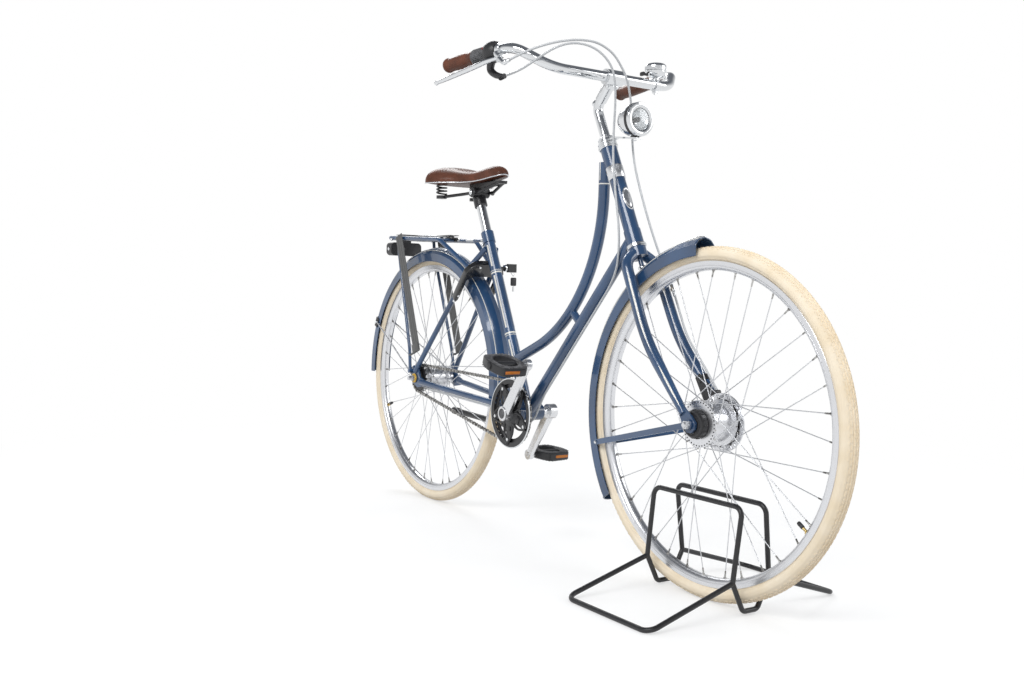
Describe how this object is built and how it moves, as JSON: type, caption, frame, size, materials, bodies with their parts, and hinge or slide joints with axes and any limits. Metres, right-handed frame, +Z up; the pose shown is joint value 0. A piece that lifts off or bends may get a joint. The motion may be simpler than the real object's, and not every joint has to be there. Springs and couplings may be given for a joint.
{
  "type": "city bicycle",
  "caption": "Step-through city bicycle with a swan-neck frame, swept-back handlebar, fenders, carrier, ring lock and lamps, its front wheel held in a wire display stand.",
  "frame": {"origin": "on the floor, in the wheels' plane, midway along the bicycle's length", "axes": "+X points forward, +Y to the rider's left, +Z up; the bicycle stands upright on the floor with its steering straight"},
  "size_m": [1.7959, 0.5538, 1.1263],
  "materials": {
    "blue_paint": "glossy dark blue enamel",
    "chrome": "bright chrome plate",
    "polished_alloy": "polished and satin alloy",
    "steel_wire": "bright steel",
    "black_steel": "black coated steel",
    "chain_steel": "bare steel chain",
    "black_plastic": "moulded black plastic",
    "black_rubber": "dark grey woven elastic",
    "cream_tyre": "cream side walls and a dark tread",
    "brown_leather": "smooth brown leather look",
    "cable_housing": "pale grey cable housing"
  },
  "bodies": {
    "frame": {"head_tube": "blue_paint", "bottom_bracket": "blue_paint", "seat_tube": "blue_paint", "down_tube": "blue_paint", "swan_tube": "blue_paint", "tube_strut": "blue_paint", "dropouts": "blue_paint", "chain_stays": "blue_paint", "seat_stays": "blue_paint", "bracket_bearings": "polished_alloy", "headset_cups": "chrome", "seat_post": "chrome", "saddle_cover": "brown_leather", "saddle_undercarriage": "black_steel", "saddle_springs": "black_steel", "rear_fender": "blue_paint", "rear_fender_stays": "steel_wire", "rear_axle": "steel_wire", "chain": "chain_steel", "carrier_platform": "blue_paint", "carrier_legs": "blue_paint", "carrier_straps": "black_rubber", "rear_light": "black_plastic", "ring_lock": "black_plastic", "lock_key": "black_plastic", "kickstand_bracket": "black_steel", "shift_cable_loop": "cable_housing", "shift_cable_frame": "cable_housing"},
    "steering": {"fork": "blue_paint", "headset_locknut": "chrome", "front_axle": "steel_wire", "front_brake": "black_steel", "front_fender": "blue_paint", "front_fender_stays": "blue_paint", "stem": "chrome", "handlebar": "chrome", "grips": "brown_leather", "shifter": "black_plastic", "brake_lever": "polished_alloy", "bell": "chrome", "lamp_bracket": "chrome", "headlamp": "chrome", "brake_cable": "cable_housing", "display_stand": "black_steel"},
    "front_wheel": {"front_tyre": "cream_tyre", "front_rim": "polished_alloy", "front_spokes": "steel_wire", "front_hub": "polished_alloy"},
    "rear_wheel": {"rear_tyre": "cream_tyre", "rear_rim": "polished_alloy", "rear_spokes": "steel_wire", "rear_hub": "polished_alloy", "rear_sprocket": "black_steel"},
    "cranks": {"cranks": "polished_alloy", "chainring": "black_steel"},
    "pedal_right": {"pedal_right": "black_plastic"},
    "pedal_left": {"pedal_left": "black_plastic"},
    "kickstand": {"kickstand_leg": "black_steel"}
  },
  "joints": [
    {"name": "steering_turn", "type": "hinge", "parent": "frame", "child": "steering", "pos_m": [0.31756, 0, 0.69692], "axis": [-0.4305, 0, 0.9026], "range_deg": [-50, 50], "deforming": ["shift_cable_loop"]},
    {"name": "front_wheel_spin", "type": "hinge", "parent": "steering", "child": "front_wheel", "pos_m": [0.553, 0, 0.345], "axis": [0, 1, 0], "continuous": true},
    {"name": "rear_wheel_spin", "type": "hinge", "parent": "frame", "child": "rear_wheel", "pos_m": [-0.533, 0, 0.345], "axis": [0, 1, 0], "continuous": true},
    {"name": "crank_spin", "type": "hinge", "parent": "frame", "child": "cranks", "pos_m": [-0.066, 0, 0.298], "axis": [0, 1, 0], "continuous": true},
    {"name": "right_pedal_spin", "type": "hinge", "parent": "cranks", "child": "pedal_right", "pos_m": [0.04775, -0.148, 0.42433], "axis": [0, 1, 0], "continuous": true},
    {"name": "left_pedal_spin", "type": "hinge", "parent": "cranks", "child": "pedal_left", "pos_m": [-0.17975, 0.148, 0.17167], "axis": [0, 1, 0], "continuous": true},
    {"name": "kickstand_swing", "type": "hinge", "parent": "frame", "child": "kickstand", "pos_m": [-0.207, 0.042, 0.245], "axis": [0.29, -0.9071, -0.305], "range_deg": [0, 76]}
  ]
}
